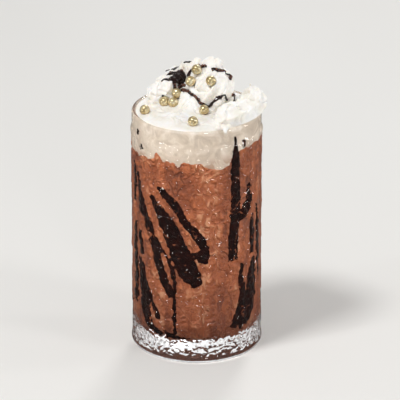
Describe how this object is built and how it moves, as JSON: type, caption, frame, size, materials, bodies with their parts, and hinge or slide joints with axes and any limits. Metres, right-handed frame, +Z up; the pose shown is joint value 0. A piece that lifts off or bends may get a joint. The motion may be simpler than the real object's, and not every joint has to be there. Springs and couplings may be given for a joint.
{
  "type": "mocha frappe",
  "caption": "Tall fluted glass tumbler of blended mocha drink with a layer and piped heap of whipped cream, sugar pearls on top.",
  "frame": {"origin": "centre of the tumbler's underside, on the surface it stands on", "axes": "+Z up along the glass, +X to the side where a lobe of cream hangs over the rim, -Y to the front where the cream lies level with the rim"},
  "size_m": [0.0824, 0.08, 0.1828],
  "materials": {
    "glass": "clear, pressed with an uneven bark-like relief",
    "frappe": "thick blended drink, mottled and moist",
    "cream": "soft whipped cream, faint sheen",
    "pearl": "pearly gold sugar",
    "syrup": "glossy dark chocolate syrup"
  },
  "bodies": {
    "root": {"tumbler": "glass", "frappe": "frappe", "whipped_cream": "cream", "pearl_1": "pearl", "pearl_2": "pearl", "pearl_3": "pearl", "pearl_4": "pearl", "pearl_5": "pearl", "pearl_6": "pearl", "pearl_7": "pearl", "pearl_8": "pearl", "pearl_9": "pearl"}
  },
  "joints": []
}
